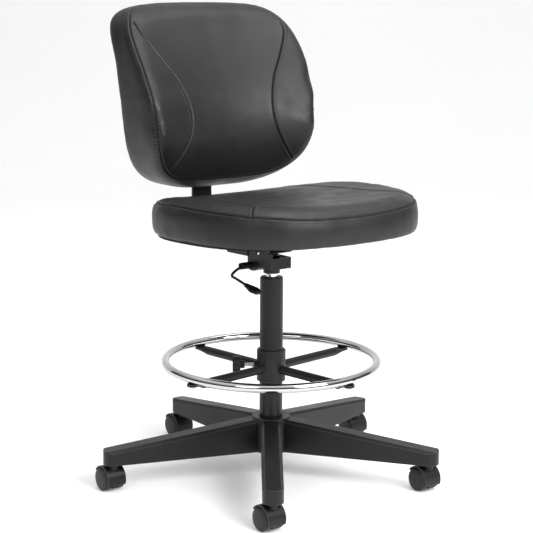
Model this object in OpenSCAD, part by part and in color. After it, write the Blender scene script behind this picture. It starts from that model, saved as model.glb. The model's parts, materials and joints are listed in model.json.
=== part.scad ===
// Drafting chair with a five-leg caster base, a gas lift and an adjustable foot ring.
// +Z is up, the chair faces -Y, and the origin is on the floor under the column.

/* [Casters] */
// Radius of a caster wheel
wheel_r = 25; // [22:0.5:27]
// Distance from the stem's axis back to the axle
caster_trail = 14; // [12:1:16]
// Radius of the caster's stem
stem_r = 5.5; // [5:0.5:5.5]

/* [Base] */
// Distance from the column's axis to a caster's stem
stem_circle_r = 351; // [320:1:370]
// Width of a leg
leg_w = 43; // [38:1:48]
// Height of a leg at its tip
leg_tip_h = 30; // [29:1:36]
// Height of the hub
hub_h = 73; // [66:1:80]
// Radius of the hub
hub_r = 41; // [36:1:50]

/* [Column] */
// Radius of the column tube
column_r = 25; // [25:0.5:26]
// Height of the column tube's rim above the floor
column_top_z = 439; // [430:1:445]
// Radius of the chromed gas cylinder
cylinder_r = 14; // [14:0.5:14.5]

/* [Foot ring] */
// Radius of the ring, to the middle of its tube
ring_r = 228; // [210:1:240]
// Radius of the ring's tube
ring_tube_r = 9.5; // [8:0.5:11]
// Height of the ring's tube above the floor
ring_z = 257; // [240:1:300]
// Angle of the first spoke from +X
ring_angle = 8; // [0:1:40]
// Height of the ring's hub sleeve
ring_hub_h = 66; // [60:1:80]

/* [Seat] */
// Width of the seat
seat_w = 528; // [480:2:560]
// Depth of the seat from front to back
seat_d = 508; // [460:2:530]
// Thickness of the seat at its middle
seat_t = 71; // [60:1:85]
// How far the seat's sides stand above its middle
seat_dish = 18; // [0:1:25]
// Backward tilt of the seat in degrees
seat_tilt = 2.3; // [1:0.1:3]

/* [Backrest] */
// Width of the backrest
back_w = 440; // [400:2:460]
// Height of the backrest
back_h = 402; // [380:2:420]
// Height of the backrest's lower edge above the floor
back_low_z = 612; // [612:1:640]
// Width of the flat steel bar that carries the backrest
bar_w = 50; // [40:1:50]
// Thickness of that bar
bar_t = 6; // [5:0.5:6]

/* [Hidden] */
CASTERS = [1, 2, 3, 4, 5];
$fn = 64;
eps = 0.01;
running = 0.05;          // radial clearance of a shaft that turns or slides in its bore
leg_angle = 72;          // angle between neighbouring legs
first_leg = 90;          // the first leg points straight back

// Casters
hood_half = 9;           // half the width of the hood's middle web
fender_half = 21.5;      // half the width of the hood's fender
fender_gap = 1.2;        // between tread and fender
fender_t = 3;
wheel_in = 9.6;          // distance from the caster's middle plane to the wheel's inner face
wheel_out = 24.5;
axle_r = 3;
axle_z = wheel_r;
stem_low_z = 32;
stem_top_z = 85;
hood_top_z = 58.5;
groove_z = 76;           // height of the groove that keeps the stem in its socket
groove_h = 3;

// Base
leg_low_z = 60;
leg_wall = 4;
leg_bevel = 6;
hub_top_z = leg_low_z + hub_h;
hub_lip = 1;             // the hub stands this far below the legs, and twice that above them
tip_top_z = leg_low_z + leg_tip_h;
leg_slope = atan((hub_top_z - tip_top_z) / (stem_circle_r + leg_w / 2 - hub_r + 8));
socket_r = stem_r + running;

// Column
column_low_z = 50;
taper_top_z = hub_top_z + 2;
taper_low_r = column_r - 2;
column_bore_r = column_r - 2;
plate_top_z = column_low_z + 6;   // top of the tube's closed lower end
rod_r = 5;
race_h = 3;
cage_h = 4;
race_out_r = 15;
ball_r = 1.95;
ball_count = 12;
cage_z = plate_top_z + race_h;
upper_race_z = cage_z + cage_h;
rod_shoulder_z = upper_race_z + race_h;
rod_top_z = 455;
piston_h = 12;
cylinder_low_z = 80;
cylinder_top_z = 490;
cylinder_bore_r = cylinder_r - 2;
cone_low_z = 448;        // the cylinder tapers from here to its top
cone_top_r = cylinder_r - 1;
button_r = 4;
button_low_z = 478;
button_top_z = 494.4;
bush_low_z = column_top_z - 70;

// Foot ring
ring_hub_low_z = ring_z - 42;
ring_hub_top_z = ring_hub_low_z + ring_hub_h;
liner_in_r = column_r + running;
liner_out_r = column_r + 3;
ring_hub_in_r = liner_out_r + running;
ring_hub_out_r = ring_hub_in_r + 3.2;
spoke_r = 9.5;
spoke_z = ring_z - 15;
spoke_end_r = 200;       // where a spoke starts to flatten
spoke_plate_t = 5;
spoke_plate_top_z = ring_z - ring_tube_r;
spoke_plate_w = 24;
spoke_screw_r = 3;
knob_z = (ring_hub_low_z + ring_hub_top_z) / 2;
knob_angle = ring_angle + 135;
boss_r = 9;
boss_out = ring_hub_out_r + 6;
stud_r = 4;

// Mechanism
chassis_half = 26;
arm_half = bar_w / 2 + 4;  // the arm behind the box is wider, to hold the bar
chassis_front_y = -34;
chassis_back_y = 52;
arm_back_y = 132;
chassis_low_z = 463;
chassis_top_z = 487;
bulge_y = 36;            // the box's floor bulges down under its back
bulge_z = 492;
bulge_r = 40;
plate_low_z = 497;
sheet = 3;
socket_out_r = 18;
plate_half = 28;
plate_front_y = -60;
plate_back_y = 150;
plate_slant = [-29, 122];  // the ends of the flat middle, which slant up to the full length
bar_z = plate_low_z - bar_t / 2;
bar_y = 265;             // the upright stretch of the bar
bar_bend_r = 40;
bar_top_z = 790;
bar_front_y = 62;
bar_bolt_y = [80, 112];
pivot = [-28, 43, 463];  // where the lever rocks in its collar
lever_r = 3;
collar_r = 7.5;
collar_len = 25;
pivot_pin_r = 1.5;       // cross pin through lever and collar

// Seat, in a frame that is tilted back about the X axis
seat_origin_z = 542.5;
seat_mid_y = -38;
board_t = 12;
board_inset = 12;
seat_lip = 7;
seat_front_n = 2.9;      // squareness of the outline: 2 is an ellipse
seat_back_n = 2.3;
seat_screw_x = 90;
seat_screw_y = [-30, 110];
arm_hole_x = 180;
arm_hole_y = [-20, 80];
arm_hole_r = 4;
flange_half = 105;
flange_in = 78;

// Backrest
back_mid_z = back_low_z + back_h / 2;
back_top_n = 5;
back_rear_n = 3.4;       // the rear's top corners are rounder than the front's
back_bottom_n = 3.4;
back_flare = 0.08;       // the top is wider than the bottom
back_wrap = 24;          // how far the sides come forward of the middle
back_hollow = 22;        // how much further the front is hollowed out between its sides
skirt_t = 14;
shell_t = 10;
shell_back_y = 254;
outer_t = 3.5;
channel_half = 32;
channel_low_z = 640;
channel_top_z = 800;
channel_back_y = 274;
slide_gap = 0.4;

// ---- Shared helpers ----

// A point of a rounded outline at angle a, with half sizes w and h; n sets how square it is
function spow(v, e) = sign(v) * pow(abs(v), e);
function outline(a, w, h, n) = [w * spow(cos(a), 2 / n), h * spow(sin(a), 2 / n)];

// Joins rings of equal length into one closed solid, with a centre point at each end
function flatten(l) = [for (a = l) for (b = a) b];
module loft(rings, first, last) {
    n = len(rings[0]);
    m = len(rings);
    points = concat(flatten(rings), [first, last]);
    sides = [for (i = [0:m - 2], j = [0:n - 1])
        let (a = i * n + j, b = i * n + (j + 1) % n) each [[a, b, b + n], [a, b + n, a + n]]];
    low = [for (j = [0:n - 1]) [m * n, (j + 1) % n, j]];
    high = [for (j = [0:n - 1]) [m * n + 1, (m - 1) * n + j, (m - 1) * n + (j + 1) % n]];
    polyhedron(points, concat(sides, low, high));
}

// Rounds the corners of a path by cutting them twice as often each time
function cut_corners(p, times) = times == 0 ? p : cut_corners(
    concat([p[0]],
        [for (i = [0:len(p) - 2]) each [p[i] * 0.75 + p[i + 1] * 0.25, p[i] * 0.25 + p[i + 1] * 0.75]],
        [p[len(p) - 1]]), times - 1);
function unit(v) = v / norm(v);

// A round rod along a path; up is any direction that the path never takes
module rod_along(path, r, sides, up) {
    last = len(path) - 1;
    rings = [for (i = [0:last])
        let (t = unit(path[min(i + 1, last)] - path[max(i - 1, 0)]), u = unit(cross(t, up)), v = cross(u, t))
        [for (j = [0:sides - 1]) path[i] + r * (cos(j * 360 / sides) * u + sin(j * 360 / sides) * v)]];
    loft(rings, path[0], path[last]);
}

module ring_solid(r_in, r_out, z, h) {
    translate([0, 0, z])
        difference() {
            cylinder(r = r_out, h = h);
            translate([0, 0, -1]) cylinder(r = r_in, h = h + 2);
        }
}

module at_legs() {
    for (i = CASTERS) rotate(first_leg + (i - 1) * leg_angle) children();
}

// ---- Base ----

// One leg along +X: side view, plan view and bevelled section meet in one solid
module leg_solid(inset) {
    w = leg_w - 2 * inset;
    tip = stem_circle_r + leg_w / 2 - inset;
    top = hub_top_z - inset;
    intersection() {
        translate([0, w / 2, 0]) rotate([90, 0, 0]) linear_extrude(w)
            polygon([[0, leg_low_z], [tip, leg_low_z], [tip, tip_top_z - inset], [hub_r - 8, top], [0, top]]);
        linear_extrude(hub_top_z + 1)
            polygon(concat([[0, w / 2], [0, -w / 2]],
                [for (a = [-90:15:90]) [stem_circle_r + w / 2 * cos(a), w / 2 * sin(a)]]));
        translate([hub_r - 8, 0, top]) rotate([0, leg_slope, 0]) translate([-2 * hub_r, 0, 0])
            rotate([90, 0, 90]) linear_extrude(2 * stem_circle_r)
                polygon([[-w / 2, -hub_top_z], [w / 2, -hub_top_z], [w / 2, -leg_bevel], [w / 2 - leg_bevel, 0],
                    [-w / 2 + leg_bevel, 0], [-w / 2, -leg_bevel]]);
    }
}

// The hollow underneath a leg, between its ribs
module leg_hollow() {
    rib_x = [hub_r + 6, 122, 198, 274, stem_circle_r - 14];
    intersection() {
        translate([0, 0, -eps]) leg_solid(leg_wall);
        for (i = [0:len(rib_x) - 2])
            translate([rib_x[i] + 1.5, -leg_w, leg_low_z - 1]) cube([rib_x[i + 1] - rib_x[i] - 3, 2 * leg_w, hub_h]);
    }
}

module star_base() {
    color("#262626")
        difference() {
            union() {
                at_legs() leg_solid(0);
                translate([0, 0, leg_low_z - hub_lip]) cylinder(r = hub_r, h = hub_h + 3 * hub_lip);
            }
            at_legs() leg_hollow();
            at_legs() translate([stem_circle_r, 0, leg_low_z - 1]) cylinder(r = socket_r, h = stem_top_z + 2 - leg_low_z);
            column_envelope();
        }
}

// The outside of the column tube, with its tapered lower end
module column_envelope() {
    rotate_extrude()
        polygon([[0, column_low_z], [taper_low_r, column_low_z], [column_r, taper_top_z],
            [column_r, column_top_z], [0, column_top_z]]);
}

module column_tube() {
    color("#2a2a2c")
        difference() {
            column_envelope();
            translate([0, 0, plate_top_z]) cylinder(r = column_bore_r - 2, h = column_top_z);
            translate([0, 0, taper_top_z + 5]) cylinder(r = column_bore_r, h = column_top_z);
            translate([0, 0, column_low_z - 1]) cylinder(r = rod_r + running, h = column_top_z);
        }
}

module guide_bush() {
    color("#1c1c1c") {
        rotate_extrude()
            polygon([[cylinder_r + running, bush_low_z], [column_bore_r, bush_low_z], [column_bore_r, column_top_z],
                [column_r - 0.8, column_top_z], [column_r - 1.6, column_top_z + 3],
                [cylinder_r + running, column_top_z + 3]]);
    }
}

module lower_race() {
    color("silver") ring_solid(rod_r + 1.5, race_out_r, plate_top_z, race_h);
}

// ---- Gas lift ----

module piston_rod() {
    color("silver")
        rotate_extrude()
            polygon([[0, 45], [rod_r, 45], [rod_r, 47.8], [rod_r - 1, 47.8], [rod_r - 1, 49.7], [rod_r, 49.7],
                [rod_r, rod_shoulder_z], [9, rod_shoulder_z], [9, rod_shoulder_z + 4], [rod_r, rod_shoulder_z + 4],
                [rod_r, rod_top_z], [0, rod_top_z]]);
}

module piston() {
    color("#888888") translate([0, 0, rod_top_z])
        difference() {
            cylinder(r = cylinder_bore_r - 0.1, h = piston_h);
            for (z = [3, 8])
                translate([0, 0, z])
                    difference() {
                        cylinder(r = cylinder_r, h = 1.5);
                        translate([0, 0, -1]) cylinder(r = cylinder_bore_r - 1, h = 4);
                    }
        }
}

module ball_cage() {
    color("#b08d57") {
        mid_r = (rod_r + 1.5 + race_out_r) / 2;
        difference() {
            ring_solid(rod_r + 1.7, race_out_r - 0.4, cage_z + 1, cage_h - 2);
            for (i = [0:ball_count - 1])
                rotate(i * 360 / ball_count) translate([mid_r, 0, cage_z + cage_h / 2]) sphere(r = ball_r + 0.05);
        }
        for (i = [0:ball_count - 1])
            rotate(i * 360 / ball_count) translate([mid_r, 0, cage_z + cage_h / 2]) sphere(r = ball_r);
    }
}

module upper_race() {
    color("silver") ring_solid(rod_r, race_out_r, upper_race_z, race_h);
}

module rod_clip() {
    color("silver")
        difference() {
            ring_solid(rod_r - 1, rod_r + 4, 48, 1.5);
            translate([0, -2, 47]) cube([2 * rod_r, 4, 4]);
        }
}

module gas_cylinder() {
    color("#e8e8ea")
        difference() {
            rotate_extrude()
                polygon([[0, cylinder_low_z], [cylinder_r, cylinder_low_z], [cylinder_r, cone_low_z],
                    [cone_top_r, cylinder_top_z], [0, cylinder_top_z]]);
            translate([0, 0, cylinder_low_z + 15]) cylinder(r = cylinder_bore_r, h = cylinder_top_z - cylinder_low_z - 31);
            translate([0, 0, cylinder_low_z - 1]) cylinder(r = rod_r + running, h = 20);
            translate([0, 0, cylinder_top_z - 20]) cylinder(r = button_r + running, h = 30);
        }
}

module valve_button() {
    color("#b03030") translate([0, 0, button_low_z]) cylinder(r = button_r, h = button_top_z - button_low_z);
}

// ---- Mechanism under the seat ----

module taper_socket() {
    color("#2a2a2c")
        difference() {
            translate([0, 0, cone_low_z + 3]) cylinder(r = socket_out_r, h = cylinder_top_z - cone_low_z - 4);
            rotate_extrude()
                polygon([[0, cone_low_z], [cylinder_r, cone_low_z], [cone_top_r, cylinder_top_z], [0, cylinder_top_z]]);
        }
}

// Folded steel box that holds the taper socket, with an arm at the back for the bar
module mechanism_chassis() {
    inner = chassis_half - sheet;
    depth = chassis_back_y - chassis_front_y;
    color("#1d1d1e")
        difference() {
            union() {
                translate([-chassis_half, chassis_front_y, chassis_low_z])
                    cube([2 * chassis_half, depth, chassis_top_z - chassis_low_z]);
                translate([-chassis_half, chassis_front_y, chassis_top_z - 1])
                    cube([sheet, depth, plate_low_z - chassis_top_z + 1]);
                translate([inner, 12, chassis_top_z - 1])
                    cube([sheet, chassis_back_y - 12, plate_low_z - chassis_top_z + 1]);
                intersection() {
                    translate([-chassis_half, bulge_y, bulge_z]) rotate([0, 90, 0])
                        cylinder(r = bulge_r, h = 2 * chassis_half);
                    translate([-chassis_half, bulge_y - bulge_r, chassis_low_z - 20])
                        cube([2 * chassis_half, chassis_back_y - bulge_y + bulge_r, 24]);
                }
                translate([-arm_half, 0, 0]) rotate([90, 0, 90]) linear_extrude(2 * arm_half)
                    polygon([[chassis_back_y - 2, plate_low_z - 15], [plate_slant[1], plate_low_z - 17],
                        [arm_back_y, plate_low_z - 9], [arm_back_y, plate_low_z], [chassis_back_y - 2, plate_low_z]]);
            }
            translate([-inner, chassis_front_y + sheet, chassis_low_z + sheet])
                cube([2 * inner, depth, 60]);
            translate([-inner, bulge_y, bulge_z]) rotate([0, 90, 0]) cylinder(r = bulge_r - sheet, h = 2 * inner);
            translate([sheet - arm_half, 0, 0]) rotate([90, 0, 90]) linear_extrude(2 * (arm_half - sheet))
                polygon([[chassis_back_y, plate_low_z - 12], [plate_slant[1], plate_low_z - 13],
                    [arm_back_y, plate_low_z - 6], [arm_back_y + 1, plate_low_z - 6], [arm_back_y + 1, plate_low_z + 1],
                    [chassis_back_y, plate_low_z + 1]]);
            cylinder(r = socket_out_r, h = plate_low_z);
            translate([-chassis_half - 1, 16.5, plate_low_z - 2]) rotate([0, 90, 0]) cylinder(r = 6, h = sheet + 2);
            translate([-chassis_half - 1, pivot[1], pivot[2]]) rotate([0, 90, 0])
                cylinder(r = collar_r - 1.5, h = sheet + 2);
        }
}

// Plastic collar in the chassis wall that the lever rocks in
module lever_collar() {
    color("#151515") translate([pivot[0] + 2, pivot[1], pivot[2]]) rotate([0, -90, 0])
        difference() {
            union() {
                cylinder(r = collar_r, h = collar_len);
                translate([0, 0, -sheet]) cylinder(r = collar_r - 1.5, h = sheet + 1);
            }
            translate([0, 0, -sheet - 1]) cylinder(r1 = lever_r + 1.7, r2 = lever_r + 0.6, h = sheet + 4);
            translate([0, 0, 2.9]) cylinder(r1 = lever_r + 0.6, r2 = lever_r + 3.4, h = collar_len);
            translate([0, collar_r + 1, 2]) rotate([90, 0, 0]) cylinder(r = pivot_pin_r + running, h = 2 * collar_r + 2);
        }
}

module in_seat() {
    translate([0, 0, seat_origin_z]) rotate([-seat_tilt, 0, 0]) children();
}

module at_seat_screws() {
    for (x = [-seat_screw_x, seat_screw_x], y = seat_screw_y) translate([x, y, 0]) children();
}

// Pressed steel plate: a flat middle, sloping sides and flanges that the seat is screwed to
module seat_plate() {
    drop = 50;
    color("#1d1d1e")
        difference() {
            intersection() {
                union() {
                    translate([-plate_half, plate_front_y, plate_low_z])
                        cube([2 * plate_half, plate_back_y - plate_front_y, sheet]);
                    in_seat() translate([0, plate_back_y + 9, 0]) rotate([90, 0, 0])
                        linear_extrude(plate_back_y - plate_front_y + 18)
                            for (side = [0, 1]) mirror([side, 0])
                                polygon([[flange_half, -sheet], [flange_half, 0], [flange_in - 1, 0],
                                    [plate_half - 8, -drop], [plate_half - 3, -drop], [flange_in + 2, -sheet]]);
                }
                translate([-flange_half - 1, 0, 0]) rotate([90, 0, 90]) linear_extrude(2 * flange_half + 2)
                    polygon([[plate_slant[0], plate_low_z], [plate_slant[1], plate_low_z],
                        [plate_back_y, plate_low_z + 34], [plate_back_y, plate_low_z + 80],
                        [plate_front_y, plate_low_z + 80], [plate_front_y, plate_low_z + 34]]);
            }
            translate([-16, -18, plate_low_z - 1]) cube([32, 74, sheet + 2]);
            for (y = bar_bolt_y) translate([0, y, plate_low_z - 1]) cylinder(r = 4, h = sheet + 2);
            in_seat() at_seat_screws() translate([0, 0, -8]) cylinder(r = 3.3, h = 16);
        }
}

// Hexagon-head screws that hold the plate to the seat board
module mechanism_screws() {
    color("silver") in_seat() at_seat_screws() {
        translate([0, 0, -sheet - 4]) cylinder(r = 6, h = 4, $fn = 6);
        translate([0, 0, -sheet]) cylinder(r = 3.3, h = sheet + board_t - 2);
    }
}

// Flat steel bar, bent up into a J behind the seat
module back_bar() {
    lean = bar_y - bar_bend_r;
    bend_z = bar_z + bar_bend_r;
    color("#101010")
        difference() {
            union() {
                translate([-bar_w / 2, bar_front_y, bar_z - bar_t / 2]) cube([bar_w, lean - bar_front_y, bar_t]);
                translate([-bar_w / 2, lean, bend_z]) rotate([0, 90, 0])
                    linear_extrude(bar_w)
                        intersection() {
                            difference() {
                                circle(r = bar_bend_r + bar_t / 2);
                                circle(r = bar_bend_r - bar_t / 2);
                            }
                            square(2 * bar_bend_r);
                        }
                translate([-bar_w / 2, bar_y - bar_t / 2, bend_z]) cube([bar_w, bar_t, bar_top_z - bend_z]);
            }
            for (y = bar_bolt_y) translate([0, y, bar_z - bar_t]) cylinder(r = 4, h = 2 * bar_t);
            for (i = [0:5])
                translate([0, bar_y - bar_t, bar_top_z - 20 - i * 12]) rotate([-90, 0, 0]) cylinder(r = 4, h = 2 * bar_t);
        }
}

module bar_bolts() {
    color("silver") for (y = bar_bolt_y) translate([0, y, 0]) {
        translate([0, 0, bar_z - bar_t / 2 - 5]) cylinder(r = 7, h = 5, $fn = 6);
        translate([0, 0, bar_z - bar_t / 2]) cylinder(r = 4, h = bar_t + sheet + 8);
        translate([0, 0, plate_low_z + sheet]) ring_solid(4, 7, 0, 6);
    }
}

// ---- Lever ----

// Route of the lever: from over the valve, out through the collar and forward to the paddle
lever_path = [[0, -8, 497.8], [0, 28, 497.8], [-8, 43, 494], [-14, 43, 472], [-21, 43, 464], pivot,
    [-41, 43, 461.6], [-56, 43, 459.5], [-78, 43, 446], [-79, 20, 443], [-80, -24, 434]];
paddle_start = [-80, -16, 435.5];
paddle_end = [-80, -60, 427];

module lever_rod() {
    color("#101010") {
        rod_along(cut_corners(lever_path, 2), lever_r, 12, [0.3, 0.1, 1]);
        translate(pivot + [0, collar_r - 0.1, 0]) rotate([90, 0, 0]) cylinder(r = pivot_pin_r, h = 2 * collar_r - 0.2);
    }
}

module lever_paddle() {
    side = [8, 0, 0];
    color("#1a1a1a")
        difference() {
            hull() {
                translate(paddle_start) sphere(r = 4.6, $fn = 32);
                for (s = [-1, 1]) {
                    translate((paddle_start + 2 * paddle_end) / 3 + s * side) sphere(r = 4.6, $fn = 32);
                    translate(paddle_end + s * side * 0.6) sphere(r = 4.2, $fn = 32);
                }
            }
            rod_along([lever_path[9], lever_path[10]], lever_r, 12, [0.3, 0.1, 1]);
        }
}

// ---- Seat ----

seat_sides = 48;
function seat_n(a) = seat_back_n + (seat_front_n - seat_back_n) * (1 - sin(a)) / 2;
function seat_xy(a, inset) = outline(a, seat_w / 2 - inset, seat_d / 2 - inset, seat_n(a));
// Height of the seat's top surface, where x and y run from -1 to 1 over its outline
function seat_top(x, y) = seat_t + seat_dish * x * x * (1 - 0.5 * y * y) + (y > 0 ? -12 : 7) * y * y;
function seat_edge(a) = 32 - 8 * sin(a);
// The front's lower edge rolls under, below the board
function seat_roll(a) = seat_lip * pow(max(0, -sin(a)), 1.5);
function seat_point(a, inset, z) = let (p = seat_xy(a, inset)) [p[0], p[1] + seat_mid_y, z];
function seat_top_point(a, inset, down, s) =
    let (p = seat_xy(a, inset) * s)
    [p[0], p[1] + seat_mid_y, seat_top(p[0] / (seat_w / 2), p[1] / (seat_d / 2)) - down];

module seat_cushion() {
    turn = [for (j = [0:seat_sides - 1]) j * 360 / seat_sides];
    low_r = 20;
    rings = concat(
        [for (i = [0, low_r - 4]) [for (a = turn) seat_point(a, board_inset + 0.4, i == 0 ? board_t : 0)]],
        [for (t = [0:22.5:90]) [for (a = turn)
            seat_point(a, low_r * (1 - sin(t)) * 0.55, low_r * (1 - cos(t)) - seat_roll(a) * cos(t))]],
        [for (t = [0:18:90]) [for (a = turn)
            seat_top_point(a, seat_edge(a) * (1 - cos(t)), seat_edge(a) * (1 - sin(t)), 1)]],
        [for (s = [0.85, 0.68, 0.5, 0.32, 0.15]) [for (a = turn) seat_top_point(a, seat_edge(a), 0, s)]]
    );
    color("#303030") in_seat() loft(rings, [0, seat_mid_y, board_t], [0, seat_mid_y, seat_t]);
}

module seat_board() {
    turn = [for (j = [0:seat_sides - 1]) j * 360 / seat_sides];
    color("#202020") in_seat()
        difference() {
            translate([0, seat_mid_y, 0]) linear_extrude(board_t)
                polygon([for (a = turn) seat_xy(a, board_inset + 0.7)]);
            at_seat_screws() translate([0, 0, -1]) cylinder(r = 3.3, h = board_t + 2);
            for (x = [-arm_hole_x, arm_hole_x], y = arm_hole_y)
                translate([x, y, -1]) cylinder(r = arm_hole_r, h = board_t + 2);
        }
}

// ---- Backrest ----

back_sides = 48;
// The front and back surfaces at the middle, where w runs from -1 at the bottom to 1 at the top
function back_front(w) = 142 + 77 * w + 92 * w * w - 38 * w * w * w;
function back_rear(w) = 284 + 16 * w + 46 * w * w + 6 * w * w * w;
function shell_rear(w) = shell_back_y + 40 * max(w, 0) * max(w, 0);
function back_n(a, top_n) = back_bottom_n + (top_n - back_bottom_n) * (1 + sin(a)) / 2;
function back_xz(a, inset, top_n = back_rear_n) =
    let (p = outline(a, back_w / 2 - inset, back_h / 2 - inset, back_n(a, top_n)), w = 2 * p[1] / back_h)
    [p[0] * (1 + back_flare * w), p[1]];
function wrap(x) = back_wrap * pow(2 * x / back_w, 2);
function hollow(x, w) = back_hollow * max(0, 1 - pow(2 * x / back_w, 2)) * max(0, 1 - w * w);
function front_point(a, inset, deep, s) =
    let (p = back_xz(a, inset, back_top_n) * s, w = 2 * p[1] / back_h)
    [p[0], back_front(w) + hollow(p[0], w) - wrap(p[0]) + deep, back_mid_z + p[1]];
function rear_point(a, inset, deep, s) =
    let (p = back_xz(a, inset) * s) [p[0], back_rear(2 * p[1] / back_h) - wrap(p[0]) - deep, back_mid_z + p[1]];
function rim_point(a, inset) =
    let (p = back_xz(a, inset)) [p[0], shell_rear(2 * p[1] / back_h) + 0.5, back_mid_z + p[1]];
function floor_point(a, inset, s) =
    let (p = back_xz(a, inset) * s) [p[0], shell_rear(2 * p[1] / back_h) - shell_t - 1, back_mid_z + p[1]];

// Room for the bar where it goes in at the bottom
module bar_slot() {
    translate([-bar_w / 2 - 3, shell_back_y - 1, back_low_z - 5])
        cube([bar_w + 6, bar_y + bar_t / 2 + 4 - shell_back_y, 40]);
}

module back_cushion() {
    turn = [for (j = [0:back_sides - 1]) j * 360 / back_sides];
    edge_r = 27;
    rim_r = 8;
    inner = [0.15:0.15:0.9];
    rings = concat(
        [for (s = inner) [for (a = turn) floor_point(a, skirt_t, s)]],
        [[for (a = turn) floor_point(a, skirt_t, 1)]],
        [[for (a = turn) rear_point(a, skirt_t, 3, 1)]],
        [for (t = [0:30:90]) [for (a = turn) rear_point(a, rim_r * (1 - sin(t)), rim_r * (1 - cos(t)), 1)]],
        [for (t = [0:18:90]) [for (a = turn) front_point(a, edge_r * (1 - cos(t)), edge_r * (1 - sin(t)), 1)]],
        [for (s = [0.85, 0.68, 0.5, 0.32, 0.15]) [for (a = turn) front_point(a, edge_r, 0, s)]]
    );
    color("#303030")
        difference() {
            loft(rings, floor_point(0, skirt_t, 0), front_point(0, edge_r, 0, 0));
            bar_slot();
        }
}

// Curved plywood: its side view, cut to the backrest's outline
module back_inner_shell() {
    steps = [for (i = [0:16]) -1 + i / 8];
    turn = [for (j = [0:back_sides - 1]) j * 360 / back_sides];
    color("#b58a55")
        difference() {
            intersection() {
                translate([-back_w / 2, 0, 0]) rotate([90, 0, 90]) linear_extrude(back_w)
                    polygon(concat([for (w = steps) [shell_rear(w), back_mid_z + w * back_h / 2]],
                        [for (i = [16:-1:0]) [shell_rear(steps[i]) - shell_t, back_mid_z + steps[i] * back_h / 2]]));
                translate([0, 400, back_mid_z]) rotate([90, 0, 0]) linear_extrude(400)
                    polygon([for (a = turn) back_xz(a, skirt_t + 1)]);
            }
            at_back_screws() cylinder(r = 2.5, h = 30);
        }
}

module back_outer_shell() {
    turn = [for (j = [0:back_sides - 1]) j * 360 / back_sides];
    edge = skirt_t + 0.5;
    rows = [0.25, 0.5, 0.75, 0.92];
    rings = concat(
        [for (s = rows) [for (a = turn) rear_point(a, edge + outer_t, outer_t, s)]],
        [[for (a = turn) rear_point(a, edge + outer_t, outer_t + 1.5, 1)]],
        [[for (a = turn) rim_point(a, edge + outer_t)]],
        [[for (a = turn) rim_point(a, edge)]],
        [[for (a = turn) rear_point(a, edge, 4, 1)]],
        [[for (a = turn) rear_point(a, edge + 1.5, 1, 1)]],
        [for (i = [3:-1:0]) [for (a = turn) rear_point(a, edge, 0, rows[i])]]
    );
    color("#202020")
        difference() {
            loft(rings, rear_point(0, edge, outer_t, 0), rear_point(0, edge, 0, 0));
            bar_slot();
        }
}

// Steel channel on the shell that slides over the bar
module back_channel() {
    color("#1d1d1e")
        difference() {
            translate([-channel_half, shell_back_y, channel_low_z])
                cube([2 * channel_half, channel_back_y - shell_back_y, channel_top_z - channel_low_z]);
            translate([-bar_w / 2 - slide_gap, bar_y - bar_t / 2 - slide_gap, channel_low_z - 1])
                cube([bar_w + 2 * slide_gap, bar_t + 2 * slide_gap, channel_top_z - channel_low_z + 2]);
            translate([-10, bar_y, 700]) cube([20, 20, 60]);
            at_back_screws() cylinder(r = 2.5, h = 30);
        }
}

// Leaf spring whose nose drops into the bar's notches
module back_detent() {
    color("silver") {
        translate([-8, channel_back_y, 692]) cube([16, 1.5, 76]);
        translate([0, bar_y + bar_t / 2 + 0.5, 730]) rotate([-90, 0, 0]) cylinder(r = 3, h = 6);
    }
}

module at_back_screws() {
    for (x = [-29, 29], z = [655, 785])
        translate([x, shell_back_y - shell_t + 2, z]) rotate([-90, 0, 0]) children();
}

module back_screws() {
    color("silver") at_back_screws() {
        cylinder(r = 2.5, h = channel_back_y - shell_back_y + shell_t - 2);
        translate([0, 0, channel_back_y - shell_back_y + shell_t - 2]) cylinder(r = 4.5, h = 2);
    }
}

// ---- Foot ring ----

module at_spokes() {
    for (i = [0:3]) rotate(ring_angle + i * 90) children();
}

module ring_liner() {
    color("#151515") {
        ring_solid(liner_in_r, liner_out_r, ring_hub_low_z - 2, ring_hub_h + 4);
        ring_solid(liner_out_r - eps, liner_out_r + 2, ring_hub_top_z + 0.3, 1.7);
    }
}

module ring_hub() {
    color("#222224")
        difference() {
            union() {
                ring_solid(ring_hub_in_r, ring_hub_out_r, ring_hub_low_z, ring_hub_h);
                translate([0, 0, knob_z]) rotate([0, 90, knob_angle]) translate([0, 0, ring_hub_in_r + 1])
                    cylinder(r = boss_r, h = boss_out - ring_hub_in_r - 1);
            }
            translate([0, 0, knob_z]) rotate([0, 90, knob_angle]) cylinder(r = stud_r + running, h = 60);
        }
}

// Round tubes that flatten where they are screwed under the ring
module ring_spokes() {
    color("#1f1f21")
        difference() {
            at_spokes() {
                translate([ring_hub_out_r - 0.6, 0, spoke_z]) rotate([0, 90, 0]) cylinder(r = spoke_r, h = spoke_end_r - ring_hub_out_r);
                hull() {
                    translate([spoke_end_r - 1, 0, spoke_z]) rotate([0, 90, 0]) cylinder(r = spoke_r, h = 0.5, $fn = 32);
                    translate([spoke_end_r + 15, -spoke_plate_w / 2, spoke_plate_top_z - spoke_plate_t])
                        cube([3, spoke_plate_w, spoke_plate_t]);
                }
                translate([spoke_end_r + 16, -spoke_plate_w / 2, spoke_plate_top_z - spoke_plate_t])
                    cube([ring_r - spoke_end_r - 16, spoke_plate_w, spoke_plate_t]);
                translate([ring_r, 0, spoke_plate_top_z - spoke_plate_t]) cylinder(d = spoke_plate_w, h = spoke_plate_t);
            }
            translate([0, 0, ring_hub_low_z - 1]) cylinder(r = ring_hub_out_r, h = ring_hub_h + 2);
            at_spokes() translate([ring_r, 0, ring_z - 30]) cylinder(r = spoke_screw_r, h = 30);
        }
}

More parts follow.
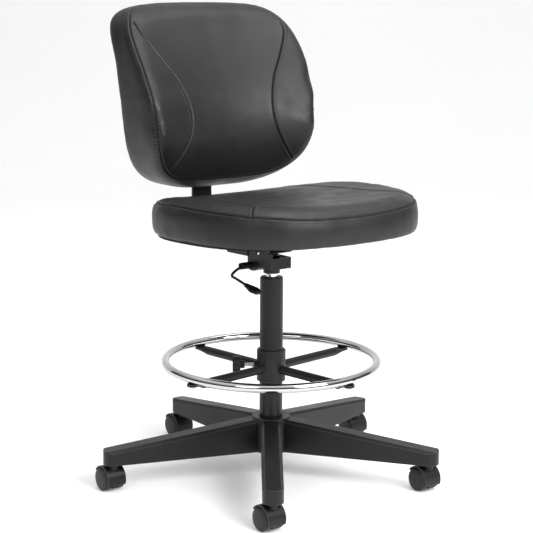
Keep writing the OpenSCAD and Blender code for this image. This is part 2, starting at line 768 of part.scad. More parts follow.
module ring_tube() {
    color("#e8e8ea")
        difference() {
            translate([0, 0, ring_z]) rotate_extrude($fn = 128) translate([ring_r, 0])
                difference() {
                    circle(r = ring_tube_r);
                    circle(r = ring_tube_r - 1.6);
                }
            at_spokes() translate([ring_r, 0, ring_z - 30]) cylinder(r = spoke_screw_r, h = 30);
        }
}

module spoke_screws() {
    color("#303030") at_spokes() translate([ring_r, 0, 0]) {
        translate([0, 0, spoke_plate_top_z - spoke_plate_t - 4]) cylinder(r = 6, h = 4);
        translate([0, 0, spoke_plate_top_z - spoke_plate_t]) cylinder(r = spoke_screw_r, h = spoke_plate_t + 6);
    }
}

module knob_frame() {
    translate([0, 0, knob_z]) rotate([0, 90, knob_angle]) children();
}

module knob_stud() {
    color("silver") knob_frame() translate([0, 0, liner_out_r + 0.4]) cylinder(r = stud_r, h = 46);
}

// Plastic knob with finger hollows around its rim
module knob_grip() {
    hollows = 6;
    color("#151515") knob_frame()
        difference() {
            union() {
                translate([0, 0, boss_out + 20]) cylinder(r = 8.5, h = 10);
                translate([0, 0, boss_out + 29]) cylinder(r = 18.5, h = 15);
                translate([0, 0, boss_out + 44]) cylinder(r1 = 18.5, r2 = 16, h = 2);
            }
            for (i = [0:hollows - 1])
                rotate((i + 0.5) * 360 / hollows) translate([21.5, 0, boss_out + 25]) cylinder(r = 5.5, h = 25);
            translate([0, 0, 20]) cylinder(r = stud_r, h = liner_out_r + 46.4 - 20);
        }
}

// ---- Casters: each is built pointing forward and stands at its own leg ----

module at_caster(i) {
    a = first_leg + (i - 1) * leg_angle;
    translate([stem_circle_r * cos(a), stem_circle_r * sin(a), 0]) children();
}

module along_axle() {
    translate([0, caster_trail, axle_z]) rotate([0, 90, 0]) children();
}

// The fender's side view, with +X down: a ring sector over the top and the leading side of the wheels
module fender_section() {
    r_in = wheel_r + fender_gap;
    r_out = r_in + fender_t;
    difference() {
        circle(r = r_out);
        circle(r = r_in);
        for (a = [-68, 20, 35]) rotate(a) square(2 * r_out);
    }
}

module caster_hood(i) {
    r_out = wheel_r + fender_gap + fender_t;
    color("#202022") at_caster(i)
        difference() {
            union() {
                along_axle() translate([0, 0, -fender_half]) linear_extrude(2 * fender_half) fender_section();
                along_axle() translate([0, 0, -hood_half]) linear_extrude(2 * hood_half)
                    difference() {
                        circle(r = r_out - 0.5);
                        translate([4, -8]) rotate(-30) square([2 * r_out, 3 * r_out]);
                        translate([axle_z - 8, -2 * r_out]) square([2 * r_out, 4 * r_out]);
                    }
                translate([0, 0, 48]) cylinder(r = 9, h = hood_top_z - 48);
            }
            translate([0, 0, stem_low_z]) cylinder(r = stem_r, h = 60);
            along_axle() translate([0, 0, -40]) cylinder(r = axle_r, h = 80);
        }
}

module caster_stem(i) {
    color("silver") at_caster(i) rotate_extrude()
        polygon([[0, stem_low_z], [stem_r, stem_low_z], [stem_r, groove_z], [stem_r - 1.3, groove_z],
            [stem_r - 1.3, groove_z + groove_h], [stem_r, groove_z + groove_h], [stem_r, stem_top_z - 2],
            [stem_r - 1.5, stem_top_z], [0, stem_top_z]]);
}

module caster_axle(i) {
    color("silver") at_caster(i) along_axle() translate([0, 0, -21]) cylinder(r = axle_r, h = 42);
}

// One wheel: tread with rounded shoulders and a slightly domed outer face
module wheel(i, side) {
    color("#1b1b1c") at_caster(i) along_axle() mirror([0, 0, side < 0 ? 1 : 0]) rotate_extrude()
        polygon([[axle_r + running, wheel_in], [wheel_r - 1.5, wheel_in], [wheel_r, wheel_in + 1.5],
            [wheel_r, wheel_out - 4], [wheel_r - 1.2, wheel_out - 1.6], [wheel_r - 3, wheel_out - 0.6],
            [15, wheel_out + 0.6], [0, wheel_out + 1], [0, 22], [axle_r + running, 22]]);
}

star_base();
column_tube();
guide_bush();
lower_race();
piston_rod();
piston();
ball_cage();
upper_race();
rod_clip();
gas_cylinder();
taper_socket();
mechanism_chassis();
seat_plate();
mechanism_screws();
seat_board();
seat_cushion();
back_bar();
bar_bolts();
lever_collar();
lever_rod();
lever_paddle();
valve_button();
back_channel();
back_detent();
back_inner_shell();
back_cushion();
back_outer_shell();
back_screws();
ring_liner();
ring_hub();
ring_spokes();
ring_tube();
spoke_screws();
knob_grip();
knob_stud();
for (i = CASTERS) {
    caster_hood(i);
    caster_stem(i);
    caster_axle(i);
    wheel(i, -1);
    wheel(i, 1);
}
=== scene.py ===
# A drafting chair: vinyl cushions, seams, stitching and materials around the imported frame.
import json
import math

import bmesh
import bpy
from mathutils import Matrix, Vector, kdtree, noise
from mathutils.bvhtree import BVHTree


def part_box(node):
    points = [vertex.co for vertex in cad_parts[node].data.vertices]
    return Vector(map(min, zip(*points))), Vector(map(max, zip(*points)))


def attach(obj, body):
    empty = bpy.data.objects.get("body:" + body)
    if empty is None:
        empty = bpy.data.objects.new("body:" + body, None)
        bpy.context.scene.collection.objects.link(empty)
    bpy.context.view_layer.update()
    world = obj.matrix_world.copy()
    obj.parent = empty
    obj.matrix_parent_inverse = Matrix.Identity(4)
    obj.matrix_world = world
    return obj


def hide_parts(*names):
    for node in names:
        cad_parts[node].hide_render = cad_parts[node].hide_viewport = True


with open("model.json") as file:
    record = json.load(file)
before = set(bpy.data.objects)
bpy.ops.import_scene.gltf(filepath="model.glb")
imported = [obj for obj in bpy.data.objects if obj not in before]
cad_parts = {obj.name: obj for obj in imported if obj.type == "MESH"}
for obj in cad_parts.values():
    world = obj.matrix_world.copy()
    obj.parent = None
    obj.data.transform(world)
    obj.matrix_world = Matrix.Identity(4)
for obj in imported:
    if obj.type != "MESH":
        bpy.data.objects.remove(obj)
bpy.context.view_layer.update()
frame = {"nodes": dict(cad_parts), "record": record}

MM = 0.001

# ---------------------------------------------------------------- materials

edge_highlight_radius = 0.002    # how far the painted edge highlight reaches from an edge

def new_material(name):
    """An empty material with its shader, and a helper that adds a node and sets its inputs."""
    material = bpy.data.materials.new(name)
    material.use_nodes = True
    tree = material.node_tree
    shader = tree.nodes["Principled BSDF"]

    def add(kind, **inputs):
        node = tree.nodes.new(kind)
        for key, value in inputs.items():
            socket = node.inputs[key.replace("_", " ")]
            if isinstance(value, bpy.types.NodeSocket):
                tree.links.new(value, socket)
            else:
                socket.default_value = value
        return node

    def link(output, socket):
        tree.links.new(output, socket)

    return material, shader, add, link


def ramp_of(add, link, factor, dark, light, low=0.3, high=0.7):
    """Colours from dark to light as factor goes from low to high."""
    node = add("ShaderNodeValToRGB")
    node.color_ramp.elements[0].position = low
    node.color_ramp.elements[1].position = high
    node.color_ramp.elements[0].color = (*dark, 1)
    node.color_ramp.elements[1].color = (*light, 1)
    link(factor, node.inputs["Fac"])
    return node.outputs["Color"]


def span_of(add, link, factor, low, high):
    """A number from low to high as factor goes from 0.3 to 0.7."""
    node = add("ShaderNodeMapRange", From_Min=0.3, From_Max=0.7, To_Min=low, To_Max=high)
    link(factor, node.inputs["Value"])
    return node.outputs["Result"]


def noise_of(add, link, scale, detail=4.0):
    """Noise that is fixed to the piece, with scale in bumps per metre."""
    place = add("ShaderNodeTexCoord")
    node = add("ShaderNodeTexNoise", Scale=scale, Detail=detail)
    link(place.outputs["Object"], node.inputs["Vector"])
    return node.outputs["Fac"]


def grain_material(name, dark, light, rough, grain, grain_depth, metallic=0.0, edge_highlight=None, specular=0.28):
    """A painted, moulded or metal surface: mottled colour, uneven gloss, fine grain and edges lightened as a
    painted highlight.

    rough is the span of the roughness, grain is in bumps per metre, and grain_depth is in metres."""
    material, shader, add, link = new_material(name)
    cloud = noise_of(add, link, 9.0)
    fine = noise_of(add, link, grain, 2.0)
    colour = ramp_of(add, link, cloud, dark, light)
    # Paler colour on the bevelled edges: a painted highlight along every edge, not wear.
    if edge_highlight:
        bevel = add("ShaderNodeBevel", Radius=edge_highlight_radius)
        shape = add("ShaderNodeNewGeometry")
        turn = add("ShaderNodeVectorMath")
        turn.operation = "DOT_PRODUCT"
        link(bevel.outputs["Normal"], turn.inputs[0])
        link(shape.outputs["Normal"], turn.inputs[1])
        edge = add("ShaderNodeMapRange", From_Min=0.995, From_Max=0.9, To_Min=0.0, To_Max=0.55)
        link(turn.outputs["Value"], edge.inputs["Value"])
        mix = add("ShaderNodeMixRGB")
        link(edge.outputs["Result"], mix.inputs["Fac"])
        link(colour, mix.inputs["Color1"])
        mix.inputs["Color2"].default_value = (*edge_highlight, 1)
        colour = mix.outputs["Color"]
    link(colour, shader.inputs["Base Color"])
    link(span_of(add, link, cloud, rough[0], rough[1]), shader.inputs["Roughness"])
    bump = add("ShaderNodeBump", Strength=0.35, Distance=grain_depth)
    link(fine, bump.inputs["Height"])
    link(bump.outputs["Normal"], shader.inputs["Normal"])
    shader.inputs["Metallic"].default_value = metallic
    shader.inputs["Specular IOR Level"].default_value = specular
    return material


def vinyl_material():
    """Smooth black upholstery vinyl: pebble grain, soft sheen, rubbed patches."""
    material, shader, add, link = new_material("vinyl")
    place = add("ShaderNodeTexCoord")
    pebbles_per_metre = 900.0
    pebble = add("ShaderNodeTexVoronoi", Scale=pebbles_per_metre)
    link(place.outputs["Object"], pebble.inputs["Vector"])
    cloud = noise_of(add, link, 7.0)
    rub = noise_of(add, link, 26.0)
    crease = noise_of(add, link, 140.0, 6.0)
    colour = ramp_of(add, link, cloud, (0.010, 0.010, 0.011), (0.017, 0.017, 0.0185))
    link(colour, shader.inputs["Base Color"])
    link(span_of(add, link, rub, 0.38, 0.50), shader.inputs["Roughness"])
    grain = add("ShaderNodeBump", Strength=0.25, Distance=0.00025)
    link(pebble.outputs["Distance"], grain.inputs["Height"])
    waves = add("ShaderNodeBump", Strength=0.22, Distance=0.0009)
    link(crease, waves.inputs["Height"])
    link(grain.outputs["Normal"], waves.inputs["Normal"])
    link(waves.outputs["Normal"], shader.inputs["Normal"])
    shader.inputs["Specular IOR Level"].default_value = 0.3
    return material


def plywood_material():
    """Raw plywood: long grain with pale and dark veneer bands."""
    material, shader, add, link = new_material("plywood")
    place = add("ShaderNodeTexCoord")
    stretch = add("ShaderNodeMapping", Scale=(3.0, 60.0, 60.0))
    link(place.outputs["Object"], stretch.inputs["Vector"])
    grain = add("ShaderNodeTexNoise", Scale=3.0, Detail=6.0)
    link(stretch.outputs["Vector"], grain.inputs["Vector"])
    colour = ramp_of(add, link, grain.outputs["Fac"], (0.30, 0.19, 0.10), (0.52, 0.37, 0.22))
    link(colour, shader.inputs["Base Color"])
    link(span_of(add, link, grain.outputs["Fac"], 0.55, 0.75), shader.inputs["Roughness"])
    bump = add("ShaderNodeBump", Strength=0.3, Distance=0.0004)
    link(grain.outputs["Fac"], bump.inputs["Height"])
    link(bump.outputs["Normal"], shader.inputs["Normal"])
    return material


MATERIALS = {
    "black_vinyl": vinyl_material(),
    "plywood": plywood_material(),
    "black_board": grain_material(
        "painted_board", (0.007, 0.007, 0.007), (0.014, 0.014, 0.014), (0.6, 0.8), 350, 0.0004),
    "black_nylon": grain_material(
        "nylon", (0.006, 0.006, 0.0065), (0.011, 0.011, 0.012), (0.34, 0.46), 1500, 0.0003,
        # pale edge colour: painted highlight along the edges
        edge_highlight=(0.10, 0.10, 0.102)),
    "black_steel": grain_material(
        "powder_coat", (0.007, 0.007, 0.0075), (0.012, 0.012, 0.013), (0.30, 0.42), 900, 0.0003,
        # pale edge colour: painted highlight along the edges
        edge_highlight=(0.11, 0.11, 0.112)),
    "chrome_steel": grain_material(
        "chrome", (0.52, 0.52, 0.53), (0.60, 0.60, 0.61), (0.05, 0.10), 60, 0.00005, 1.0),
    "bright_steel": grain_material(
        "zinc", (0.42, 0.42, 0.43), (0.62, 0.61, 0.58), (0.25, 0.45), 500, 0.0001, 1.0),
    "cage_brass": grain_material(
        "brass", (0.55, 0.38, 0.16), (0.68, 0.50, 0.24), (0.25, 0.4), 400, 0.0001, 1.0),
    "red_plastic": grain_material(
        "red_cap", (0.30, 0.02, 0.02), (0.42, 0.04, 0.03), (0.4, 0.5), 900, 0.0001),
    "wheel_nylon": grain_material(
        "wheel", (0.006, 0.006, 0.0065), (0.010, 0.010, 0.011), (0.28, 0.42), 700, 0.0002,
        # pale edge colour: painted highlight along the edges
        edge_highlight=(0.09, 0.09, 0.09)),
    "soft_plastic": grain_material(
        "matt_plastic", (0.006, 0.006, 0.006), (0.010, 0.010, 0.0105), (0.42, 0.55), 1200, 0.0003,
        # pale edge colour: painted highlight along the edges
        edge_highlight=(0.04, 0.04, 0.042)),
}


def thread_material():
    """Twisted black sewing thread."""
    return grain_material("thread", (0.02, 0.02, 0.022), (0.07, 0.07, 0.074), (0.45, 0.6), 2500, 0.0003)


THREAD = thread_material()
# Far darker than the vinyl: painted shade for the groove at the bottom of each seam.
FOLD_SHADE = grain_material(
    "fold_painted_shade", (0.002, 0.002, 0.002), (0.004, 0.004, 0.004), (0.7, 0.9), 900, 0.0001, specular=0.1)

# ---------------------------------------------------------------- frame parts

softest_edge = 0.9 * MM
least_part = 8 * MM     # smaller parts keep their edges as they are


def finish_frame_part(node, part, slot):
    """Materials, softened edges and smooth shading on a part that the frame already holds."""
    part.data.materials.clear()
    part.data.materials.append(MATERIALS[slot])
    low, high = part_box(node)
    size = min(high - low)
    if slot != "plywood" and size > least_part:
        bevel = part.modifiers.new("soft_edges", "BEVEL")
        bevel.width = min(softest_edge, size * 0.04)
        bevel.segments = 2
        bevel.limit_method = "ANGLE"
        bevel.angle_limit = math.radians(40)
        bevel.harden_normals = False
    for face in part.data.polygons:
        face.use_smooth = True


SLOT_OF = {row["node"]: row["material_slot"] for row in frame["record"]["subparts"]}
for node_name, node_object in frame["nodes"].items():
    finish_frame_part(node_name, node_object, SLOT_OF[node_name])

# ---------------------------------------------------------------- cushions


def copy_of(node, name):
    """A free copy of a frame part's mesh."""
    mesh = frame["nodes"][node].data.copy()
    mesh.name = name
    mesh.materials.clear()
    piece = bpy.data.objects.new(name, mesh)
    bpy.context.scene.collection.objects.link(piece)
    return piece


def apply_modifiers(piece):
    """Bakes a piece's modifiers into its mesh."""
    graph = bpy.context.evaluated_depsgraph_get()
    mesh = bpy.data.meshes.new_from_object(piece.evaluated_get(graph))
    old = piece.data
    piece.modifiers.clear()
    piece.data = mesh
    bpy.data.meshes.remove(old)


inflate_frames = 20


def inflate(piece, shrink, most):
    """Blows a cover up a little with a cloth simulation, and holds every point within `most` of its start."""
    start = [v.co.copy() for v in piece.data.vertices]
    normals = [v.normal.copy() for v in piece.data.vertices]
    for vertex, normal in zip(piece.data.vertices, normals):
        vertex.co = vertex.co - normal * shrink
    cloth = piece.modifiers.new("cover", "CLOTH")
    cloth.settings.use_pressure = True
    cloth.settings.uniform_pressure_force = 4.0
    cloth.settings.effector_weights.gravity = 0.0
    cloth.settings.tension_stiffness = 40
    cloth.settings.compression_stiffness = 40
    cloth.settings.bending_stiffness = 8
    cloth.settings.quality = 4
    cloth.point_cache.frame_start = 1
    cloth.point_cache.frame_end = inflate_frames
    for number in range(1, inflate_frames + 1):
        bpy.context.scene.frame_set(number)
    apply_modifiers(piece)
    bpy.context.scene.frame_set(1)
    for vertex, place in zip(piece.data.vertices, start):
        step = vertex.co - place
        if step.length > most:
            vertex.co = place + step * (most / step.length)


def remeshed(piece, size):
    """Even quads all over a closed mesh."""
    remesh = piece.modifiers.new("even", "REMESH")
    remesh.mode = "VOXEL"
    remesh.voxel_size = size
    apply_modifiers(piece)


def smoothed(piece, times):
    """Relaxes a mesh."""
    smooth = piece.modifiers.new("smooth", "SMOOTH")
    smooth.factor = 0.5
    smooth.iterations = times
    apply_modifiers(piece)


def subdivided(piece):
    """Splits every face into four."""
    subdivide = piece.modifiers.new("finer", "SUBSURF")
    subdivide.levels = 1
    subdivide.render_levels = 1
    apply_modifiers(piece)


remesh_size = 5 * MM
cover_shrink = 2.0 * MM     # the cover starts this much too small, and the foam blows it up
cover_most = 2.5 * MM       # no point ends further than this from the plain cushion


def make_cushion(node, name):
    """The cover of a plain cushion: even quads, blown up like foam in a tight skin, then relaxed."""
    piece = copy_of(node, name)
    remeshed(piece, remesh_size)
    smoothed(piece, 3)
    inflate(piece, cover_shrink, cover_most)
    smoothed(piece, 16)
    subdivided(piece)
    piece.data.materials.append(MATERIALS["black_vinyl"])
    for face in piece.data.polygons:
        face.use_smooth = True
    return piece


seat_cover = make_cushion("seat_cushion", "seat_cover")
back_cover = make_cushion("back_cushion", "back_cover")

# ---------------------------------------------------------------- seams


def curve_through(points, spacing):
    """Evenly spaced points along a smooth curve through a few points."""
    fine = []
    padded = [points[0]] + list(points) + [points[-1]]
    for a, b, c, d in zip(padded, padded[1:], padded[2:], padded[3:]):
        for i in range(24):
            t = i / 24
            fine.append(0.5 * (2 * b + (c - a) * t + (2 * a - 5 * b + 4 * c - d) * t**2
                               + (3 * b - a - 3 * c + d) * t**3))
    fine.append(Vector(points[-1]))
    even, left = [fine[0]], spacing
    for a, b in zip(fine, fine[1:]):
        length = (b - a).length
        while length >= left:
            a = a + (b - a) * (left / length)
            even.append(a)
            length = (b - a).length
            left = spacing
        left -= length
    return even


class Seam:
    """A line on a cover: its points, and a search tree over them."""

    def __init__(self, surface, guide, spacing=1.5 * MM):
        line = curve_through(guide, spacing)
        found = [surface.find_nearest(p) for p in line]
        self.points = [hit[0] for hit in found]
        self.normals = [hit[1] for hit in found]
        self.spacing = spacing
        self.tree = kdtree.KDTree(len(self.points))
        for i, p in enumerate(self.points):
            self.tree.insert(p, i)
        self.tree.balance()

    def along(self, i):
        """The direction of the line at its point i."""
        last = len(self.points) - 1
        return (self.points[min(i + 1, last)] - self.points[max(i - 1, 0)]).normalized()


def surface_of(piece):
    """A search tree over a cover's surface as it is now."""
    graph = bpy.context.evaluated_depsgraph_get()
    return BVHTree.FromObject(piece, graph)


def refine_near(piece, seams, reach):
    """Splits the faces close to the seams, so that a narrow groove fits between their corners."""
    mesh = bmesh.new()
    mesh.from_mesh(piece.data)
    near = {v for seam in seams for v in mesh.verts if seam.tree.find(v.co)[2] < reach}
    edges = [edge for edge in mesh.edges if edge.verts[0] in near and edge.verts[1] in near]
    bmesh.ops.subdivide_edges(mesh, edges=edges, cuts=1, use_grid_fill=True)
    mesh.to_mesh(piece.data)
    mesh.free()


def press_seams(piece, seams, depth, lip, width=1.7 * MM, lip_out=4.5 * MM, lip_width=3 * MM):
    """Draws the cover in along each seam and lets it swell on both sides."""
    reach = lip_out + 3 * lip_width
    moves = {}
    for seam in seams:
        for vertex in piece.data.vertices:
            place, index, gap = seam.tree.find(vertex.co)
            if gap > reach:
                continue
            groove = -depth * math.exp(-((gap / width) ** 2))
            swell = lip * math.exp(-(((gap - lip_out) / lip_width) ** 2))
            step = groove + swell
            if abs(step) > abs(moves.get(vertex.index, 0)):
                moves[vertex.index] = step
    normals = {i: piece.data.vertices[i].normal.copy() for i in moves}
    for i, step in moves.items():
        piece.data.vertices[i].co += normals[i] * step


def pucker(piece, seam, side, first, last, pitch, reach, height, seed):
    """Short gathers beside a seam, on the faces that look to one side.

    first and last are shares of the seam's length, and pitch, reach and height are lengths."""
    count = len(seam.points)
    moves = {}
    for vertex in piece.data.vertices:
        place, index, gap = seam.tree.find(vertex.co)
        share = index / count
        if gap > reach or not first < share < last or vertex.normal.dot(side) < 0.7:
            continue
        run = index * seam.spacing
        uneven = noise.noise(Vector((run / (1.7 * pitch), seed, 0)))
        wave = math.sin(2 * math.pi * (run / pitch + 0.9 * uneven)) ** 3
        ends = math.sin(math.pi * (share - first) / (last - first)) ** 0.5
        fade = math.sin(math.pi * min(gap / reach, 1.0) ** 0.6)
        moves[vertex.index] = height * wave * ends * fade * (0.65 + 0.7 * uneven)
    normals = {i: piece.data.vertices[i].normal.copy() for i in moves}
    for i, step in moves.items():
        piece.data.vertices[i].co += normals[i] * step


def tube_along(name, lines, radius, material, sides=6):
    """Thin round strands along lines of points, as one mesh."""
    mesh = bmesh.new()
    for points in lines:
        rings = []
        for i, p in enumerate(points):
            ahead = (points[min(i + 1, len(points) - 1)] - points[max(i - 1, 0)]).normalized()
            side = ahead.cross(Vector((0.31, 0.17, 0.93))).normalized()
            up = side.cross(ahead)
            shrink = 0.4 if i in (0, len(points) - 1) else 1.0
            rings.append([mesh.verts.new(p + radius * shrink * (math.cos(a) * side + math.sin(a) * up))
                          for a in (2 * math.pi * k / sides for k in range(sides))])
        for low, high in zip(rings, rings[1:]):
            for k in range(sides):
                mesh.faces.new((low[k], low[(k + 1) % sides], high[(k + 1) % sides], high[k]))
        mesh.faces.new(rings[0][::-1])
        mesh.faces.new(rings[-1])
    bmesh.ops.recalc_face_normals(mesh, faces=mesh.faces)
    data = bpy.data.meshes.new(name)
    mesh.to_mesh(data)
    mesh.free()
    data.materials.append(material)
    for face in data.polygons:
        face.use_smooth = True
    piece = bpy.data.objects.new(name, data)
    bpy.context.scene.collection.objects.link(piece)
    return piece


def stitches(surface, seam, offset, length=3.4 * MM, pitch=4.8 * MM):
    """Short threads beside a seam, each an arc that dips into the cover at both ends."""
    lines = []
    step = max(1, round(pitch / seam.spacing))
    for i in range(step, len(seam.points) - step, step):
        ahead = seam.along(i)
        side = ahead.cross(seam.normals[i]).normalized()
        middle = seam.points[i] + side * offset
        strand = []
        for t in (-0.5, -0.25, 0.0, 0.25, 0.5):
            place, normal, _, _ = surface.find_nearest(middle + ahead * (length * t))
            strand.append(place + normal * (0.45 * MM - 1.1 * MM * (2 * t) ** 4))
        lines.append(strand)
    return lines


def shade_folds(seams, sink):
    """Lines for the strands at the bottom of each seam, which carry painted shade for the groove."""
    return [[p - n * sink for p, n in zip(seam.points, seam.normals)] for seam in seams]


def signed_power(value, power):
    """A power that keeps the sign."""
    return math.copysign(abs(value) ** power, value)


def squircle(angle, half_width, half_height, squareness):
    """A point on a rounded rectangle: squareness 2 is an ellipse."""
    return (half_width * signed_power(math.cos(angle), 2 / squareness),
            half_height * signed_power(math.sin(angle), 2 / squareness))


def arc(first, last, count):
    """Angles from first to last in degrees."""
    return [math.radians(first + (last - first) * i / count) for i in range(count + 1)]


seat_low, seat_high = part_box("seat_cushion")
seat_half = (seat_high - seat_low) / 2
seat_middle = (seat_high + seat_low) / 2
back_low, back_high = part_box("back_cushion")
back_middle = (back_high + back_low) / 2
back_half_height = (back_high.z - back_low.z) / 2
back_half_width = back_high.x - back_middle.x


seat_edge_z = 624 * MM      # the seat's edge seam at its two sides
seat_edge_drop = {"back": 26, "front": 14}    # how far the seam falls from there, in mm


def seat_edge_point(angle):
    """Where the seam between the seat's top and its side band runs."""
    inset = 5 * MM
    x, y = squircle(angle, seat_half.x - inset, seat_half.y - inset, 2.6)
    reach = y / seat_half.y
    z = seat_edge_z - seat_edge_drop["back" if y > 0 else "front"] * MM * reach**2
    return Vector((x, seat_middle.y + y, z))


def back_edge_point(angle):
    """Where the seam between the backrest's front and its side band runs.

    From the side it follows the curve of the back's face, and its top stretch lies behind the upper edge."""
    inset = 4 * MM
    x, z = squircle(angle, 1, back_half_height - inset, 4.4 + math.sin(angle))
    reach = z / back_half_height
    half_width = (back_half_width - inset) * (1 + 0.08 * reach) / 1.06
    over_the_top = 30 * max(0.0, (reach - 0.8) / 0.2) ** 2
    y = 136 + 59 * reach + 82 * reach**2 + over_the_top
    return Vector((x * half_width, y * MM, back_middle.z + z))


def ease(value, low, high):
    """0 below low, 1 above high, and smooth between them."""
    t = min(max((value - low) / (high - low), 0.0), 1.0)
    return t * t * (3 - 2 * t)


def draw_out_corners(piece, outward, back, up):
    """The cover's rear top corners stand out into wings, where the side band is pulled round the shell."""
    for vertex in piece.data.vertices:
        reach = (vertex.co.z - back_middle.z) / back_half_height
        high = ease(reach, 0.35, 0.92)
        wide = ease(abs(vertex.co.x) / back_half_width, 0.5, 0.9)
        face_y = 142 + 77 * reach    # the back's face leans back towards its top
        rear = ease(vertex.co.y, (face_y + 40) * MM, (face_y + 100) * MM)
        share = high * wide * rear
        vertex.co += Vector((math.copysign(outward, vertex.co.x), back, up)) * share


def onto(surface, start, direction):
    """The first point of the cover that a line meets."""
    return surface.ray_cast(start, direction)[0]


def seat_top_line(surface, side, plan):
    """Plan points on one side of the seat, dropped on to its top."""
    return [onto(surface, Vector((side * x * MM, y * MM, 1)), Vector((0, 0, -1))) for x, y in plan]


def back_front_line(surface, side, view):
    """Points as seen from the front, moved back on to the backrest's face."""
    return [onto(surface, Vector((side * x * MM, -1, z * MM)), Vector((0, 1, 0))) for x, z in view]


# The seat's side panels, from its back edge to where they turn out to the front corners
PANEL_PLAN = [(148, 170), (156, 70), (162, 5), (168, -80), (176, -145), (184, -186)]
CORNER_PLAN = [(184, -186), (199, -203), (212, -218)]
# The backrest's side panels, from top to bottom
BOLSTER_VIEW = [(194, 976), (187, 948), (160, 904), (127, 853),
                (110, 802), (111, 756), (129, 712), (160, 671)]

seat_surface = surface_of(seat_cover)
seat_edge_seam = Seam(seat_surface, [seat_edge_point(a) for a in arc(-270, 90, 60)])
panel_seams = [Seam(seat_surface, seat_top_line(seat_surface, side, PANEL_PLAN)) for side in (-1, 1)]
corner_seams = [Seam(seat_surface, seat_top_line(seat_surface, side, CORNER_PLAN)) for side in (-1, 1)]
seat_seams = [seat_edge_seam] + panel_seams + corner_seams
refine_near(seat_cover, seat_seams, 9 * MM)
press_seams(seat_cover, seat_seams, depth=2.0 * MM, lip=0.6 * MM)

draw_out_corners(back_cover, 10 * MM, 20 * MM, 6 * MM)
back_surface = surface_of(back_cover)
back_edge_seam = Seam(back_surface, [back_edge_point(a) for a in arc(-90, 270, 60)])
bolster_seams = [Seam(back_surface, back_front_line(back_surface, side, BOLSTER_VIEW)) for side in (-1, 1)]
gather_stretches = [Seam(back_surface, [back_edge_point(a) for a in arc(low, high, 12)])
                    for low, high in ((178, 236), (2, -56))]
refine_near(back_cover, [back_edge_seam] + bolster_seams, 9 * MM)
press_seams(back_cover, [back_edge_seam], depth=1.8 * MM, lip=0.4 * MM)
press_seams(back_cover, bolster_seams, depth=2.2 * MM, lip=0.6 * MM)
for number, stretch in enumerate(gather_stretches):
    outward = Vector((-1 if number == 0 else 1, 0, 0))
    pucker(back_cover, stretch, outward, 0.02, 0.98,
           pitch=8 * MM, reach=18 * MM, height=1.1 * MM, seed=3 + number)

for cover, node, body in ((seat_cover, "seat_cushion", "seat"), (back_cover, "back_cushion", "back")):
    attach(cover, body)
    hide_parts(node)

seat_surface = surface_of(seat_cover)
back_surface = surface_of(back_cover)
front_run = Seam(seat_surface, [seat_edge_point(a) for a in arc(-150, -30, 30)])
# Each sewn piece: its strands, their radius, and the body it rides on; the strands in the seam grooves are
# painted shade.
SEWN = {
    "seat_fold_shade": (shade_folds(seat_seams, 1.9 * MM), 0.9 * MM, "seat"),
    "back_fold_shade": (shade_folds([back_edge_seam] + bolster_seams, 2.0 * MM), 0.9 * MM, "back"),
    "seat_stitches": (
        stitches(seat_surface, front_run, 4.2 * MM) + stitches(seat_surface, front_run, -4.2 * MM),
        0.45 * MM, "seat"),
}
for name, (lines, radius, body) in SEWN.items():
    # Stitches get thread; the other strands get the painted seam shade.
    strands = tube_along(name, lines, radius, THREAD if "stitches" in name else FOLD_SHADE)
    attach(strands, body)

# ---------------------------------------------------------------- room, light and camera

view_turn = math.radians(-36.87)   # the camera stands in front and on the lever's side
view_tilt = math.radians(10.80)
view_roll = math.radians(0.32)
view_distance = 3.277              # from the column's axis, level with the floor
view_height = 1.101
focal_px = 1562.0
frame_px = 533.0
shift_px = (-5.2, -5.6)
sensor_mm = 36.0
side_light = 0.05                  # strength of the studio's walls and of its ceiling
sky_light = 0.90


def add_floor():
    """A plain pale floor that runs up into a backdrop."""
    mesh = bpy.data.meshes.new("floor")
    ahead = Vector((-math.sin(view_turn), math.cos(view_turn), 0))
    across = Vector((ahead.y, -ahead.x, 0))
    near, far, bend, top, half_width = -9.0, 4.0, 1.5, 6.0, 8.0
    profile = [(near, 0.0), (far, 0.0)]
    for i in range(1, 13):
        a = math.radians(90 * i / 12)
        profile.append((far + bend * math.sin(a), bend * (1 - math.cos(a))))
    profile.append((far + bend, top))
    rows = [[ahead * y + across * x + Vector((0, 0, z)) for y, z in profile]
            for x in (-half_width, half_width)]
    points = rows[0] + rows[1]
    n = len(profile)
    mesh.from_pydata(points, [], [(i, i + 1, n + i + 1, n + i) for i in range(n - 1)])
    floor = bpy.data.objects.new("floor", mesh)
    bpy.context.scene.collection.objects.link(floor)
    material, shader, add, link = new_material("floor_paint")
    cloud = noise_of(add, link, 1.5)
    link(ramp_of(add, link, cloud, (0.86, 0.86, 0.86), (0.88, 0.88, 0.88)), shader.inputs["Base Color"])
    shader.inputs["Roughness"].default_value = 0.9
    shader.inputs["Specular IOR Level"].default_value = 0.1
    shader.inputs["Emission Color"].default_value = (1, 1, 1, 1)
    shader.inputs["Emission Strength"].default_value = 0.16
    mesh.materials.append(material)
    for face in mesh.polygons:
        face.use_smooth = True


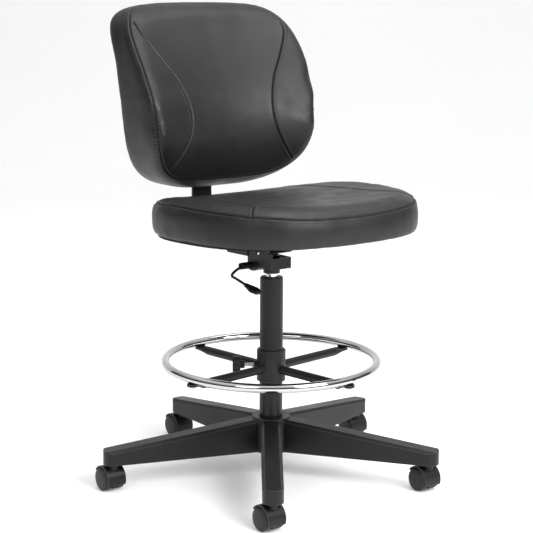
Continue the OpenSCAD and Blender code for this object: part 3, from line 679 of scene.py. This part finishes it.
def add_softbox(name, place, target, width, height, power):
    """A soft lamp that looks at target; its sides are in metres and its power in watts."""
    light = bpy.data.lights.new(name, "AREA")
    light.shape = "RECTANGLE"
    light.size = width
    light.size_y = height
    light.energy = power
    lamp = bpy.data.objects.new(name, light)
    lamp.location = place
    lamp.rotation_euler = (Vector(target) - Vector(place)).to_track_quat("-Z", "Y").to_euler()
    bpy.context.scene.collection.objects.link(lamp)


def add_camera():
    """A long lens, level with the backrest's top and looking down a little."""
    data = bpy.data.cameras.new("camera")
    data.sensor_width = sensor_mm
    data.lens = focal_px / frame_px * sensor_mm
    data.shift_x = shift_px[0] / frame_px
    data.shift_y = shift_px[1] / frame_px
    data.clip_end = 50
    camera = bpy.data.objects.new("camera", data)
    camera.location = (view_distance * math.sin(view_turn), -view_distance * math.cos(view_turn), view_height)
    facing = (Matrix.Rotation(view_turn, 3, "Z") @ Matrix.Rotation(math.radians(90) - view_tilt, 3, "X")
              @ Matrix.Rotation(view_roll, 3, "Z"))
    camera.rotation_euler = facing.to_euler()
    bpy.context.scene.collection.objects.link(camera)
    bpy.context.scene.camera = camera


def add_world():
    """A studio, bright overhead and dark around the sides, so that black and chrome get their contrast."""
    world = bpy.data.worlds.new("studio")
    world.use_nodes = True
    tree = world.node_tree
    place = tree.nodes.new("ShaderNodeTexCoord")
    split = tree.nodes.new("ShaderNodeSeparateXYZ")
    level = tree.nodes.new("ShaderNodeMapRange")
    level.interpolation_type = "SMOOTHSTEP"
    level.inputs["From Min"].default_value = 0.22
    level.inputs["From Max"].default_value = 0.80
    level.inputs["To Min"].default_value = side_light
    level.inputs["To Max"].default_value = sky_light
    tree.links.new(place.outputs["Generated"], split.inputs["Vector"])
    tree.links.new(split.outputs["Z"], level.inputs["Value"])
    tree.links.new(level.outputs["Result"], tree.nodes["Background"].inputs["Strength"])
    tree.nodes["Background"].inputs["Color"].default_value = (1, 1, 1, 1)
    bpy.context.scene.world = world


add_floor()
add_world()
add_camera()
add_softbox("key", (0.5, -3.4, 2.5), (0, 0, 0.7), 2.0, 1.8, 165)
add_softbox("top", (0.6, -0.4, 3.4), (0, 0, 0.5), 2.2, 2.2, 60)
add_softbox("left", (-3.0, -1.6, 2.3), (0, 0, 0.7), 1.4, 2.0, 28)
bpy.context.scene.view_settings.view_transform = "Standard"
